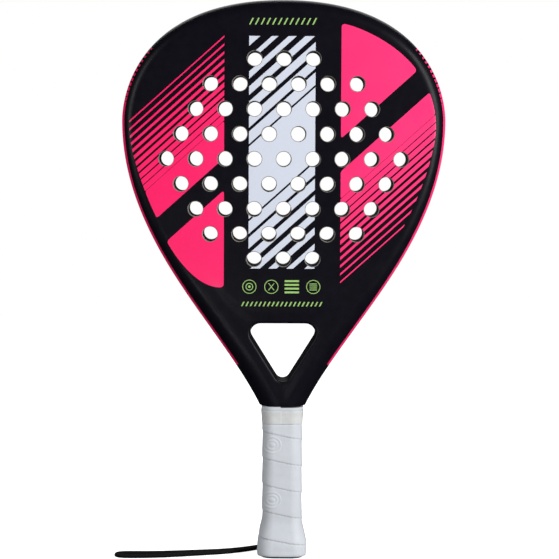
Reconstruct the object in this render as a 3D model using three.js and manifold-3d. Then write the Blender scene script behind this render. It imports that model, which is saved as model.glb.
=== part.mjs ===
// Padel racket, in millimetres. It stands on its butt: +Z runs from the butt to the tip of the head,
// +X to the right, and the front face looks along -Y. The origin is the middle of the butt's flat end.
//
// The racket is a bonded sandwich. A hollow frame tube runs round the head, down both arms and on into
// the handle, where its two legs hold a stiff spine between them. A drilled foam core fills the head,
// a second tube lines the throat opening, and a laminate covers each side. The handle carries a cap,
// a base grip, an overgrip and a wrist cord.

import * as THREE from 'three';
import { mergeGeometries, mergeVertices } from 'three/addons/utils/BufferGeometryUtils.js';
import Module from 'manifold-3d';

const wasm = await Module();
wasm.setup();

// Clearance between two pieces that touch.
const GAP = 0.3;

// Outline of the racket, seen from the front.
const LENGTH = 445;
const HEAD_HALF_WIDTH = 128.2;
const WIDEST_HEIGHT = 349.3;
const TIP_PULL = 112.5;
const UPPER_PULL = 24.3;
const LOWER_PULL = 94.5;
const ARM_PULL = { x: 49.9, z: 186.5 };
const SHOULDER_HALF_WIDTH = 18.3;
const SHOULDER_HEIGHT = 123.2;
const OUTLINE_STEPS = 12;

// Depth of the racket, seen from the side, and the rounding of its rim.
const HALF_DEPTH = 19;
const TAPER_START = 212;
const SHOULDER_HALF_DEPTH = 17.4;
const RIM_FLAT_HALF_DEPTH = 6;
const RIM_ROUND_WIDTH = 11;
const RIM_ROUND_DEPTH = HALF_DEPTH - RIM_FLAT_HALF_DEPTH;
const RIM_ROUND_STEPS = 3;

// The seam between a laminate and the bare wall of the frame tube.
const SEAM_DEPTH = 14;
const LAMINATE = 0.9;
const UNDER_LAMINATE = LAMINATE + GAP;

// Frame tube: its width from the outline inwards, and its walls.
const TUBE_WIDTH = 12;
const TUBE_OUTER_WALL = 3.2;
const TUBE_INNER_WALL = 1.6;
const BLADDER_WALL = 0.5;

// Throat opening: a triangle with three round corners, the lean of its sides, and the tube round it.
const THROAT_CORNER = { x: 17.7, z: 181.1, radius: 8.2 };
const THROAT_FOOT = { z: 149.2, radius: 6.2 };
const THROAT_RISE = THROAT_CORNER.z - THROAT_FOOT.z;
const THROAT_LEAN = Math.atan2(THROAT_CORNER.x, THROAT_RISE)
  + Math.asin((THROAT_CORNER.radius - THROAT_FOOT.radius) / Math.hypot(THROAT_CORNER.x, THROAT_RISE));
const THROAT_TUBE_WIDTH = 10.6;
const THROAT_TUBE_WALL = 1.8;
const FILLING_PORT_RADIUS = 2;
const THROAT_FOAM_FOOT = 160;
const THROAT_FOAM_RECESS = 1.2;

// Drilled holes: rows from the top of the head downwards, each centred on the axis.
const HOLES_IN_ROW = [3, 6, 7, 8, 9, 8, 7, 6, 3];
const HOLE_RADIUS = 5.85;
const HOLE_PITCH = 23.15;
const ROW_PITCH = 19.75;
const MIDDLE_ROW_HEIGHT = 319.6;
const HOLE_SIDES = 8;

// Handle: the bare section, and the layers round it as offsets from that section.
const HANDLE_HALF_WIDTH = 13;
const HANDLE_HALF_DEPTH = 13.2;
const HANDLE_CORNER = 6.5;
const HANDLE_FOOT = 14;
const SPINE_HALF_WIDTH = 3.3;
const BASE_GRIP = { inner: GAP, outer: 1.6 };
const OVERGRIP = { inner: BASE_GRIP.outer + GAP, outer: 2.8 };
const TAPE = { inner: OVERGRIP.outer, outer: 3.15 };
const TAPE_SPAN = [108.6, 118.9];
const GRIP_TOP = SHOULDER_HEIGHT - 2 * GAP;

// Butt: the cap flares over its last stretch and rounds off at the bottom.
const CAP_TOP = 34;
const CAP_FLOOR = 2.5;
const FLARE_TOP = 34;
const FLARE_FOOT = 8;
const FLARE_WIDTH = 3.9;
const FLARE_DEPTH = 2.8;
const FLARE_STEPS = 10;
const BUTT_ROUND = 4;
const OVERGRIP_FOOT = 2;

// Staples through the cap's skirt, and the wrist cord with its knot.
const STAPLE = { height: 22, wire: 1.2, halfSpan: 6.5, outside: 15.7, inside: 10.4 };
const CORD_DIAMETER = 3.5;
const CORD_HOLE_RADIUS = CORD_DIAMETER / 2 + 0.4;
const CORD_HOLE = { x: 3, z: 7 };
const CORD_STEPS = 60;
const KNOT = { radius: 3.4, cord: 1.3, height: 8.2 };

// Anything longer than the racket, for cutting tools that pass right through it.
const FAR = 600;

// ---------------------------------------------------------------- helpers

function solid(geometry) {
  geometry.deleteAttribute('normal');
  geometry.deleteAttribute('uv');
  const welded = mergeVertices(geometry, 1e-4);
  return new wasm.Manifold(new wasm.Mesh({
    numProp: 3,
    vertProperties: welded.attributes.position.array,
    triVerts: new Uint32Array(welded.index.array),
  }));
}

function part(name, body, material) {
  const { vertProperties, triVerts } = body.getMesh();
  const geometry = new THREE.BufferGeometry();
  geometry.setAttribute('position', new THREE.BufferAttribute(vertProperties, 3));
  geometry.setIndex(new THREE.BufferAttribute(triVerts, 1));
  geometry.computeVertexNormals();
  const mesh = new THREE.Mesh(geometry, material);
  mesh.name = name;
  return mesh;
}

function material(color, roughness, metalness = 0) {
  return new THREE.MeshStandardMaterial({ color, roughness, metalness });
}

function block(low, high) {
  const size = high.map((value, i) => value - low[i]);
  const middle = high.map((value, i) => (value + low[i]) / 2);
  return solid(new THREE.BoxGeometry(...size).translate(...middle));
}

function above(height) {
  return block([-FAR, -FAR, height], [FAR, FAR, FAR]);
}

// Moves each side of a closed counter-clockwise loop inwards by one distance, with mitred corners.
function inset(points, distance) {
  return points.map((point, i) => {
    const arriving = point.clone().sub(points.at(i - 1)).normalize();
    const leaving = points[(i + 1) % points.length].clone().sub(point).normalize();
    const reach = distance / (1 + arriving.dot(leaving));
    const x = point.x - (arriving.y + leaving.y) * reach;
    const y = point.y + (arriving.x + leaving.x) * reach;
    return new THREE.Vector2(x, y);
  });
}

function mirrored(rightSide) {
  const onAxis = rightSide.at(-1).x === 0;
  const copied = onAxis ? rightSide.slice(0, -1) : rightSide;
  const leftSide = copied.map((point) => new THREE.Vector2(-point.x, point.y)).reverse();
  return [...rightSide, ...leftSide];
}

// ---------------------------------------------------------------- outlines

function racketOutline() {
  const right = new THREE.Path();
  right.moveTo(HANDLE_HALF_WIDTH, -HANDLE_FOOT);
  right.lineTo(HANDLE_HALF_WIDTH, SHOULDER_HEIGHT);
  right.lineTo(SHOULDER_HALF_WIDTH, SHOULDER_HEIGHT);
  right.bezierCurveTo(
    ARM_PULL.x, ARM_PULL.z,
    HEAD_HALF_WIDTH, WIDEST_HEIGHT - LOWER_PULL,
    HEAD_HALF_WIDTH, WIDEST_HEIGHT,
  );
  right.bezierCurveTo(HEAD_HALF_WIDTH, WIDEST_HEIGHT + UPPER_PULL, TIP_PULL, LENGTH, 0, LENGTH);
  return mirrored(right.getPoints(OUTLINE_STEPS));
}

function sideProfile() {
  const front = [
    new THREE.Vector2(SHOULDER_HALF_DEPTH, -HANDLE_FOOT),
    new THREE.Vector2(SHOULDER_HALF_DEPTH, SHOULDER_HEIGHT),
    new THREE.Vector2(HALF_DEPTH, TAPER_START),
    new THREE.Vector2(HALF_DEPTH, LENGTH + HALF_DEPTH),
  ];
  return mirrored(front);
}

const OUTLINE = racketOutline();
const OUTLINE_ABOVE_HANDLE = OUTLINE.slice(2, -2);
const PROFILE = sideProfile();

function throatShape(offset) {
  const { x, z } = THROAT_CORNER;
  const radius = THROAT_CORNER.radius + offset;
  const footRadius = THROAT_FOOT.radius + offset;
  const shape = new THREE.Shape();
  shape.absarc(x, z, radius, -THROAT_LEAN, Math.PI / 2);
  shape.absarc(-x, z, radius, Math.PI / 2, Math.PI + THROAT_LEAN);
  shape.absarc(0, THROAT_FOOT.z, footRadius, Math.PI + THROAT_LEAN, 2 * Math.PI - THROAT_LEAN);
  return shape;
}

function handleShape(offset) {
  const width = HANDLE_HALF_WIDTH + offset;
  const depth = HANDLE_HALF_DEPTH + offset;
  const corner = HANDLE_CORNER + offset;
  const shape = new THREE.Shape();
  shape.absarc(width - corner, depth - corner, corner, 0, Math.PI / 2);
  shape.absarc(corner - width, depth - corner, corner, Math.PI / 2, Math.PI);
  shape.absarc(corner - width, corner - depth, corner, Math.PI, 1.5 * Math.PI);
  shape.absarc(width - corner, corner - depth, corner, 1.5 * Math.PI, 2 * Math.PI);
  return shape;
}

// ---------------------------------------------------------------- extruded bodies

// An outline in the XZ plane, extruded through the racket's whole depth.
function throughShape(shape) {
  const geometry = new THREE.ExtrudeGeometry(shape, { depth: 2 * FAR, bevelEnabled: false, curveSegments: 4 });
  return solid(geometry.translate(0, 0, -FAR).rotateX(Math.PI / 2));
}

function throughOutline(distance) {
  return throughShape(new THREE.Shape(inset(OUTLINE_ABOVE_HANDLE, distance)));
}

// The outline with its rim rounded to quarter ellipses.
function roundedOutline(distance, roundSteps) {
  const round = RIM_ROUND_WIDTH - distance;
  const geometry = new THREE.ExtrudeGeometry(new THREE.Shape(inset(OUTLINE, distance)), {
    depth: 2 * RIM_FLAT_HALF_DEPTH,
    bevelEnabled: true,
    bevelSize: round,
    bevelOffset: -round,
    bevelThickness: RIM_ROUND_DEPTH - distance,
    bevelSegments: roundSteps,
  });
  return solid(geometry.translate(0, 0, -RIM_FLAT_HALF_DEPTH).rotateX(Math.PI / 2));
}

// The side profile in the YZ plane, extruded across the racket's whole width.
function acrossProfile(distance) {
  const shape = new THREE.Shape(inset(PROFILE, distance));
  const geometry = new THREE.ExtrudeGeometry(shape, { depth: 2 * FAR, bevelEnabled: false });
  const turn = new THREE.Matrix4().makeBasis(
    new THREE.Vector3(0, 1, 0),
    new THREE.Vector3(0, 0, 1),
    new THREE.Vector3(1, 0, 0),
  );
  return solid(geometry.translate(0, 0, -FAR).applyMatrix4(turn));
}

function handlePrism(offset, bottom, top) {
  const geometry = new THREE.ExtrudeGeometry(handleShape(offset), {
    depth: top - bottom,
    bevelEnabled: false,
    curveSegments: 2,
  });
  return solid(geometry.translate(0, 0, bottom));
}

// The racket's whole outer body, shrunk inwards by one distance: rounded head and arms on a plain handle.
function envelope(distance, roundSteps = RIM_ROUND_STEPS) {
  const head = above(SHOULDER_HEIGHT + distance);
  const handle = handlePrism(-distance, HANDLE_FOOT, SHOULDER_HEIGHT + TUBE_WIDTH);
  return roundedOutline(distance, roundSteps).intersect(acrossProfile(distance)).intersect(head.add(handle));
}

// A band that runs along the inside of the outline at one distance, and down both legs of the handle.
function ring(outer, inner, roundSteps) {
  const legGap = HANDLE_HALF_WIDTH - (SPINE_HALF_WIDTH + GAP) - (TUBE_WIDTH - inner);
  const slot = block(
    [legGap - HANDLE_HALF_WIDTH, -FAR, -FAR],
    [HANDLE_HALF_WIDTH - legGap, FAR, SHOULDER_HEIGHT + inner + GAP],
  );
  return envelope(outer, roundSteps).subtract(throughOutline(inner)).subtract(slot);
}

function drill() {
  const holes = HOLES_IN_ROW.flatMap((count, row) => {
    const height = MIDDLE_ROW_HEIGHT + ((HOLES_IN_ROW.length - 1) / 2 - row) * ROW_PITCH;
    return Array.from({ length: count }, (_, i) => {
      const x = (i - (count - 1) / 2) * HOLE_PITCH;
      return new THREE.CylinderGeometry(HOLE_RADIUS, HOLE_RADIUS, 4 * HALF_DEPTH, HOLE_SIDES)
        .translate(x, 0, height);
    });
  });
  return solid(mergeGeometries(holes));
}

// ---------------------------------------------------------------- head and arms

const DRILL = drill();
const BRIDGE_TOP = THROAT_CORNER.z + THROAT_CORNER.radius + THROAT_TUBE_WIDTH;

function frameTube() {
  const underLaminates = envelope(UNDER_LAMINATE);
  const band = envelope(0).intersect(block([-FAR, GAP / 2 - SEAM_DEPTH, -FAR], [FAR, SEAM_DEPTH - GAP / 2, FAR]));
  const core = throughOutline(TUBE_WIDTH);
  const slotHalfWidth = SPINE_HALF_WIDTH + GAP;
  const slot = block([-slotHalfWidth, -FAR, -FAR], [slotHalfWidth, FAR, SHOULDER_HEIGHT + TUBE_WIDTH + GAP]);
  const hollow = ring(TUBE_OUTER_WALL, TUBE_WIDTH - TUBE_INNER_WALL);
  return underLaminates.add(band).subtract(core).subtract(slot).subtract(hollow).subtract(stapleTools());
}

function frameBladder() {
  const outer = TUBE_OUTER_WALL + GAP;
  const inner = TUBE_WIDTH - TUBE_INNER_WALL - GAP;
  const hose = ring(outer, inner, 1);
  const air = ring(outer + BLADDER_WALL, inner - BLADDER_WALL, 1);
  return hose.subtract(air).intersect(above(HANDLE_FOOT + GAP));
}

function foamCore() {
  return throughOutline(TUBE_WIDTH + GAP)
    .intersect(acrossProfile(UNDER_LAMINATE))
    .intersect(above(BRIDGE_TOP + GAP))
    .subtract(DRILL);
}

function throatTube() {
  const body = throughShape(throatShape(THROAT_TUBE_WIDTH))
    .subtract(throughShape(throatShape(0)))
    .intersect(throughOutline(TUBE_WIDTH + GAP))
    .intersect(acrossProfile(UNDER_LAMINATE));
  const port = solid(new THREE.CylinderGeometry(FILLING_PORT_RADIUS, FILLING_PORT_RADIUS, TUBE_WIDTH, HOLE_SIDES)
    .rotateX(Math.PI / 2)
    .translate(0, 0, THROAT_FOOT.z - THROAT_FOOT.radius - THROAT_TUBE_WIDTH));
  return body.subtract(throatTubeInside(THROAT_TUBE_WALL)).subtract(port);
}

function throatTubeInside(wall) {
  return throughShape(throatShape(THROAT_TUBE_WIDTH - wall))
    .subtract(throughShape(throatShape(wall)))
    .intersect(throughOutline(TUBE_WIDTH + GAP + wall))
    .intersect(acrossProfile(UNDER_LAMINATE + wall));
}

function throatFoam(side) {
  const half = side < 0 ? [-FAR, 0] : [0, FAR];
  return throughOutline(TUBE_WIDTH + GAP)
    .intersect(acrossProfile(UNDER_LAMINATE + THROAT_FOAM_RECESS))
    .intersect(block([half[0], -FAR, THROAT_FOAM_FOOT], [half[1], FAR, BRIDGE_TOP]))
    .subtract(throughShape(throatShape(THROAT_TUBE_WIDTH + GAP)));
}

function faceLaminate(side) {
  const reach = [SEAM_DEPTH + GAP / 2, FAR].map((depth) => side * depth).sort((a, b) => a - b);
  return envelope(0)
    .subtract(envelope(LAMINATE))
    .intersect(block([-FAR, reach[0], SHOULDER_HEIGHT - GAP], [FAR, reach[1], FAR]))
    .subtract(throughShape(throatShape(0)))
    .subtract(DRILL);
}

// ---------------------------------------------------------------- handle

function handleCore() {
  return envelope(UNDER_LAMINATE).intersect(block(
    [-SPINE_HALF_WIDTH, -FAR, HANDLE_FOOT],
    [SPINE_HALF_WIDTH, FAR, SHOULDER_HEIGHT + TUBE_WIDTH - GAP],
  ));
}

function sleeve(layer, bottom, top, steps = 1) {
  const shape = handleShape(layer.outer);
  shape.holes.push(handleShape(layer.inner));
  const geometry = new THREE.ExtrudeGeometry(shape, {
    depth: top - bottom,
    steps,
    bevelEnabled: false,
    curveSegments: 2,
  });
  return geometry.translate(0, 0, bottom);
}

// Widens a section of the handle towards the butt and rounds it off at the bottom.
function flare(geometry) {
  const position = geometry.attributes.position;
  const width = HANDLE_HALF_WIDTH + OVERGRIP.outer;
  const depth = HANDLE_HALF_DEPTH + OVERGRIP.outer;
  for (let i = 0; i < position.count; i += 1) {
    const z = position.getZ(i);
    const share = 1 - THREE.MathUtils.smoothstep(z, FLARE_FOOT, FLARE_TOP);
    const rise = Math.min(z / BUTT_ROUND, 1);
    const rounding = BUTT_ROUND * (1 - Math.sqrt(rise * (2 - rise)));
    position.setX(i, position.getX(i) * (1 + (share * FLARE_WIDTH - rounding) / width));
    position.setY(i, position.getY(i) * (1 + (share * FLARE_DEPTH - rounding) / depth));
  }
  return geometry;
}

function cordHoles() {
  const holes = [-CORD_HOLE.x, CORD_HOLE.x].map((x) => (
    new THREE.CylinderGeometry(CORD_HOLE_RADIUS, CORD_HOLE_RADIUS, 2 * HALF_DEPTH, HOLE_SIDES)
      .translate(x, HALF_DEPTH, CORD_HOLE.z)
  ));
  return solid(mergeGeometries(holes));
}

function buttCap() {
  const geometry = new THREE.ExtrudeGeometry(handleShape(BASE_GRIP.outer), {
    depth: CAP_TOP,
    steps: FLARE_STEPS,
    bevelEnabled: false,
    curveSegments: 2,
  });
  return solid(flare(geometry))
    .subtract(handlePrism(GAP, CAP_FLOOR, LENGTH))
    .subtract(cordHoles())
    .subtract(stapleTools());
}

function baseGrip() {
  return solid(sleeve(BASE_GRIP, CAP_TOP + GAP, GRIP_TOP));
}

function overgrip() {
  const tapeBed = solid(sleeve(
    { inner: TAPE.inner - GAP, outer: TAPE.outer },
    TAPE_SPAN[0] - GAP,
    TAPE_SPAN[1] + GAP,
  ));
  const wound = solid(flare(sleeve(OVERGRIP, OVERGRIP_FOOT, CAP_TOP, FLARE_STEPS)))
    .add(solid(sleeve(OVERGRIP, CAP_TOP, GRIP_TOP)));
  return wound.subtract(tapeBed).subtract(cordHoles());
}

function finishingTape() {
  return solid(sleeve(TAPE, ...TAPE_SPAN));
}

// A U of square wire, its crown across the skirt and its two legs through it into the handle.
function staple(side, margin) {
  const half = STAPLE.wire / 2 + margin;
  const crownInside = STAPLE.outside - STAPLE.wire - margin;
  const bar = (x0, x1, y0, y1) => block(
    [x0, Math.min(side * y0, side * y1), STAPLE.height - half],
    [x1, Math.max(side * y0, side * y1), STAPLE.height + half],
  );
  const outside = margin ? HALF_DEPTH : STAPLE.outside;
  const crown = bar(-STAPLE.halfSpan - half, STAPLE.halfSpan + half, crownInside, outside);
  const legs = [-STAPLE.halfSpan, STAPLE.halfSpan].map((x) => (
    bar(x - half, x + half, STAPLE.inside - margin, outside)
  ));
  return crown.add(legs[0]).add(legs[1]);
}

function stapleTools() {
  return staple(-1, GAP).add(staple(1, GAP));
}

// ---------------------------------------------------------------- wrist cord

// The loop leaves the cap by its two holes at the back, comes down to the floor and runs to the left.
function cordRoute() {
  const floor = CORD_DIAMETER / 2 + 0.2;
  return [
    [-3, 7, 7],
    [-3, 14, 7],
    [-3.2, 20.6, 6.7],
    [-5.8, 24.2, 4.4],
    [-11.5, 24.6, floor],
    [-18.5, 20, floor],
    [-25.5, 13.9, floor],
    [-33, 8.6, floor],
    [-46, 1.4, floor],
    [-59, -3, floor],
    [-72, -7, floor],
    [-84, -10.6, floor],
    [-97, -13.8, floor],
    [-111, -15.6, floor],
    [-120.5, -16, floor],
    [-127, -15.5, floor],
    [-131.2, -13.5, floor],
    [-132.8, -9.7, floor],
    [-131.2, -5.9, floor],
    [-127, -3.9, floor],
    [-120.5, -3.5, floor],
    [-111, -3.5, floor],
    [-97, -2.4, floor],
    [-84, -0.4, floor],
    [-72, 1.8, floor],
    [-59, 4.4, floor],
    [-46, 7.8, floor],
    [-33, 14, floor],
    [-23.5, 20.4, floor],
    [-12.5, 29.4, floor],
    [-3.5, 30, 2.6],
    [2.4, 26.4, 4.9],
    [3.1, 20.8, 6.7],
    [3, 14, 7],
    [3, 7, 7],
  ].map((point) => new THREE.Vector3(...point));
}

function wristCord() {
  const section = new THREE.Shape();
  section.absarc(0, 0, CORD_DIAMETER / 2, 0, 2 * Math.PI);
  const geometry = new THREE.ExtrudeGeometry(section, {
    extrudePath: new THREE.CatmullRomCurve3(cordRoute(), false, 'centripetal'),
    steps: CORD_STEPS,
    curveSegments: 4,
  });
  return solid(geometry);
}

function cordKnot() {
  return solid(new THREE.TorusKnotGeometry(KNOT.radius, KNOT.cord, 32, 6).translate(0, 0, KNOT.height));
}

// ---------------------------------------------------------------- the racket

const laminateBlack = material(0x17151c, 0.45);
const framePink = material(0xe8306a, 0.4);
const throatBlack = material(0x121116, 0.5);
const coreFoam = material(0x4a4a4c, 0.9);
const fillerFoam = material(0x77726a, 0.95);
const bladderFilm = material(0xd9d4c0, 0.5);
const spineWood = material(0xb08a5a, 0.8);
const gripRubber = material(0x2b2b2e, 0.85);
const gripWrap = material(0xd4d6da, 0.75);
const tapeVinyl = material(0xc9c9c8, 0.45);
const capRubber = material(0x2a3338, 0.6);
const stapleSteel = material(0xa8a8aa, 0.35, 0.9);
const cordBraid = material(0x15151a, 0.85);

const racket = new THREE.Group();
racket.name = 'padel_racket';
racket.add(
  part('frame_tube', frameTube(), framePink),
  part('frame_bladder', frameBladder(), bladderFilm),
  part('throat_tube', throatTube(), throatBlack),
  part('throat_tube_filling', throatTubeInside(THROAT_TUBE_WALL + GAP), fillerFoam),
  part('throat_foam_left', throatFoam(-1), fillerFoam.clone()),
  part('throat_foam_right', throatFoam(1), fillerFoam.clone()),
  part('foam_core', foamCore(), coreFoam),
  part('front_face', faceLaminate(-1), laminateBlack),
  part('back_face', faceLaminate(1), laminateBlack.clone()),
  part('handle_core', handleCore(), spineWood),
  part('butt_cap', buttCap(), capRubber),
  part('cap_staple_front', staple(-1, 0), stapleSteel),
  part('cap_staple_back', staple(1, 0), stapleSteel.clone()),
  part('base_grip', baseGrip(), gripRubber),
  part('overgrip', overgrip(), gripWrap),
  part('finishing_tape', finishingTape(), tapeVinyl),
  part('wrist_cord', wristCord(), cordBraid),
  part('cord_knot', cordKnot(), cordBraid.clone()),
);

export default racket;
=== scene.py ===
import math

import bpy
import numpy as np
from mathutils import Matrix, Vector
from mathutils.geometry import delaunay_2d_cdt


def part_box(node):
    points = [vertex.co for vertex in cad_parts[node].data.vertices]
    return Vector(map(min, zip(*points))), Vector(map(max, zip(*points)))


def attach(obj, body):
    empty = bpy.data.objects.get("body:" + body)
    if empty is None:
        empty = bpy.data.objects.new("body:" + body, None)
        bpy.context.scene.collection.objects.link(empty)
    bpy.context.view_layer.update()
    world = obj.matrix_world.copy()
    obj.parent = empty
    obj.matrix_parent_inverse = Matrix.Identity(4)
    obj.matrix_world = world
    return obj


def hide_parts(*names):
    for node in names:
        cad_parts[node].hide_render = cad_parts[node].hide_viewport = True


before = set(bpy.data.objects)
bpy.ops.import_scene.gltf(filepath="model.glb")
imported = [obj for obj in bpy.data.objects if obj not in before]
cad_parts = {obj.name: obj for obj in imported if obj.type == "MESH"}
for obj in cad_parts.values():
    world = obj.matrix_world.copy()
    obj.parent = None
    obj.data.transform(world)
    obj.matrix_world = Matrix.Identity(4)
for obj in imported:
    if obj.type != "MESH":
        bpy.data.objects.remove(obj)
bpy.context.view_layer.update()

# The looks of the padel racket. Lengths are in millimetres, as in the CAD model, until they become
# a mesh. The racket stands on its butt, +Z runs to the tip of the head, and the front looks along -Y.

MM = 0.001


def box_mm(node):
    low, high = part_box(node)
    return np.array(low) / MM, np.array(high) / MM


# ---- sizes taken from the frame

TUBE_LOW, TUBE_HIGH = box_mm("frame_tube")
FACE_LOW = box_mm("front_face")[0]
GRIP_LOW, GRIP_HIGH = box_mm("overgrip")
TAPE_LOW, TAPE_HIGH = box_mm("finishing_tape")

LENGTH = TUBE_HIGH[2]
HEAD_HALF_WIDTH = TUBE_HIGH[0]
HALF_DEPTH = -FACE_LOW[1]
SHOULDER_HEIGHT = FACE_LOW[2]
HANDLE_FOOT = TUBE_LOW[2]

# ---- sizes shared with the CAD source

WIDEST_HEIGHT = 349.3
TIP_PULL = 112.5
UPPER_PULL = 24.3
LOWER_PULL = 94.5
ARM_PULL = (49.9, 186.5)
SHOULDER_HALF_WIDTH = 18.3

RIM_FLAT = 6.0
RIM_ROUND = 11.0
SEAM_INSET = 2.35
LAMINATE = 0.9
GAP = 0.3
TAPER_START = 212.0
SHOULDER_HALF_DEPTH = 17.4

THROAT_CORNER = (17.7, 181.1)
THROAT_FOOT = 149.2
THROAT_RADII = (8.2, 6.2)
CORE_FOOT = 200.2

HOLES_IN_ROW = (3, 6, 7, 8, 9, 8, 7, 6, 3)
HOLE_RADIUS = 5.85
HOLE_PITCH = 23.15
ROW_PITCH = 19.75
MIDDLE_ROW = 319.6

HANDLE_HALF_WIDTH = 13.0
HANDLE_HALF_DEPTH = 13.2
HANDLE_CORNER = 6.5
FLARE_TOP = 34.0
FLARE_FOOT = 8.0
FLARE_WIDTH = 3.9
FLARE_DEPTH = 2.8
BUTT_ROUND = 4.0

CORD_DIAMETER = 3.5
CORD_FLOOR = CORD_DIAMETER / 2 + 0.2
CORD_HOLES = ((-3.0, 7.0), (3.0, 7.0))
CORD_HOLE_RADIUS = 2.15
CORD_HOLE_SPAN = (24.0, 10.0)


# ---- small helpers

def smoothstep(value, start, end):
    share = np.clip((np.asarray(value, float) - start) / (end - start), 0.0, 1.0)
    return share * share * (3.0 - 2.0 * share)


def lengths_along(path):
    """The length from a path's start to each of its points."""
    return np.concatenate([[0], np.cumsum(np.linalg.norm(np.diff(path, axis=0), axis=1))])


def points_at(where, along, path):
    """The path's points at some lengths along it."""
    return np.stack([np.interp(where, along, column) for column in path.T], axis=-1)


def arc(centre, radius, start, end, steps):
    angle = np.linspace(start, end, steps)
    return np.column_stack([centre[0] + radius * np.cos(angle), centre[1] + radius * np.sin(angle)])


def circle(centre, radius, steps):
    return arc(centre, radius, 0, 2 * math.pi, steps + 1)[:-1]


def add_object(name, data):
    obj = bpy.data.objects.new(name, data)
    bpy.context.scene.collection.objects.link(obj)
    return obj


def mesh_object(name, points, faces, materials=(), face_material=None, smooth_angle=32.0):
    """A mesh object from points in millimetres, smooth but for edges sharper than smooth_angle."""
    mesh = bpy.data.meshes.new(name)
    mesh.from_pydata((np.asarray(points, float) * MM).tolist(), [], [list(face) for face in faces])
    for item in materials:
        mesh.materials.append(item)
    if face_material is not None:
        mesh.polygons.foreach_set("material_index", np.asarray(face_material, np.int32))
    mesh.validate()
    mesh.shade_smooth()
    mesh.set_sharp_from_angle(angle=math.radians(smooth_angle))
    return add_object(name, mesh)


def ring_faces(rings, count, first=0, closed=False):
    """Four-cornered faces between neighbouring rings of points, each with its ring and its step."""
    for i in range(rings if closed else rings - 1):
        a, b = first + i * count, first + (i + 1) % rings * count
        for j in range(count):
            k = (j + 1) % count
            yield i, j, (a + j, a + k, b + k, b + j)


def loft(name, rings, materials=(), smooth_angle=32.0):
    """A body through rings of points, capped at both ends."""
    count = len(rings[0])
    last = (len(rings) - 1) * count
    faces = [face for i, j, face in ring_faces(len(rings), count)]
    faces += [tuple(reversed(range(count))), tuple(range(last, last + count))]
    return mesh_object(name, np.vstack(rings), faces, materials, smooth_angle=smooth_angle)


def finish_piece(obj, node):
    """Says that a piece rides on the racket, in place of one CAD node."""
    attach(obj, "root")
    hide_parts(node)


# ---- camera

def aim(obj, place, target):
    obj.location = place
    obj.rotation_euler = (Vector(target) - Vector(place)).to_track_quat("-Z", "Y").to_euler()


def look_from(place, target, roll_degrees, lens):
    camera = bpy.data.cameras.new("camera")
    camera.lens = lens
    camera.sensor_width = 36.0
    camera.clip_start = 0.05
    camera.clip_end = 100.0
    obj = add_object("camera", camera)
    aim(obj, place, target)
    obj.rotation_euler.rotate_axis("Z", math.radians(roll_degrees))
    bpy.context.scene.camera = obj


look_from(place=(-0.0083, -1.6, 0.334), target=(-0.0028, 0.0, 0.2232), roll_degrees=0.27, lens=129.0)


# ---- wrist cord

CORD_OUT = (
    (-3, 7, 7), (-3, 14, 7), (-3.2, 20.6, 6.7), (-5.8, 24.2, 4.4),
)
CORD_ON_FLOOR = (
    (-11.5, 24.6), (-18.5, 20), (-25.5, 13.9), (-33, 8.6), (-46, 1.4), (-59, -3), (-72, -7),
    (-84, -10.6), (-97, -13.8), (-111, -15.6), (-120.5, -16), (-127, -15.5), (-131.2, -13.5),
    (-132.8, -9.7), (-131.2, -5.9), (-127, -3.9), (-120.5, -3.5), (-111, -3.5), (-97, -2.4),
    (-84, -0.4), (-72, 1.8), (-59, 4.4), (-46, 7.8), (-33, 14), (-23.5, 20.4), (-12.5, 29.4),
)
CORD_BACK = (
    (-3.5, 30, 2.6), (2.4, 26.4, 4.9), (3.1, 20.8, 6.7), (3, 14, 7), (3, 7, 7),
)
CORD_ROUTE = (*CORD_OUT, *((x, y, CORD_FLOOR) for x, y in CORD_ON_FLOOR), *CORD_BACK)


def curve_through(points, spacing):
    """A centripetal Catmull-Rom curve through the points, in steps of one length."""
    points = np.array(points, float)
    ends = [2 * points[0] - points[1], *points, 2 * points[-1] - points[-2]]
    path = []
    for p0, p1, p2, p3 in zip(ends, ends[1:], ends[2:], ends[3:]):
        gaps = [math.sqrt(np.linalg.norm(b - a)) for a, b in ((p0, p1), (p1, p2), (p2, p3))]
        slope1 = (p1 - p0) / gaps[0] - (p2 - p0) / (gaps[0] + gaps[1]) + (p2 - p1) / gaps[1]
        slope2 = (p2 - p1) / gaps[1] - (p3 - p1) / (gaps[1] + gaps[2]) + (p3 - p2) / gaps[2]
        m1, m2 = slope1 * gaps[1], slope2 * gaps[1]
        t = np.linspace(0, 1, 40, endpoint=False)[:, None]
        path.append(
            (2 * t**3 - 3 * t**2 + 1) * p1 + (t**3 - 2 * t**2 + t) * m1
            + (3 * t**2 - 2 * t**3) * p2 + (t**3 - t**2) * m2
        )
    path = np.vstack([*path, points[-1:]])
    along = lengths_along(path)
    steps = np.linspace(0, along[-1], round(along[-1] / spacing) + 1)
    return points_at(steps, along, path), along[-1]


def carried_frames(path):
    """Two directions across the path at each of its points, turned no more than the path turns."""
    ahead = np.gradient(path, axis=0)
    ahead /= np.linalg.norm(ahead, axis=1)[:, None]
    side = np.cross(ahead[0], (0.0, 0.0, 1.0))
    sides = []
    for direction in ahead:
        side = side - direction * side.dot(direction)
        side = side / np.linalg.norm(side)
        sides.append(side)
    sides = np.array(sides)
    return sides, np.cross(ahead, sides)


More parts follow.
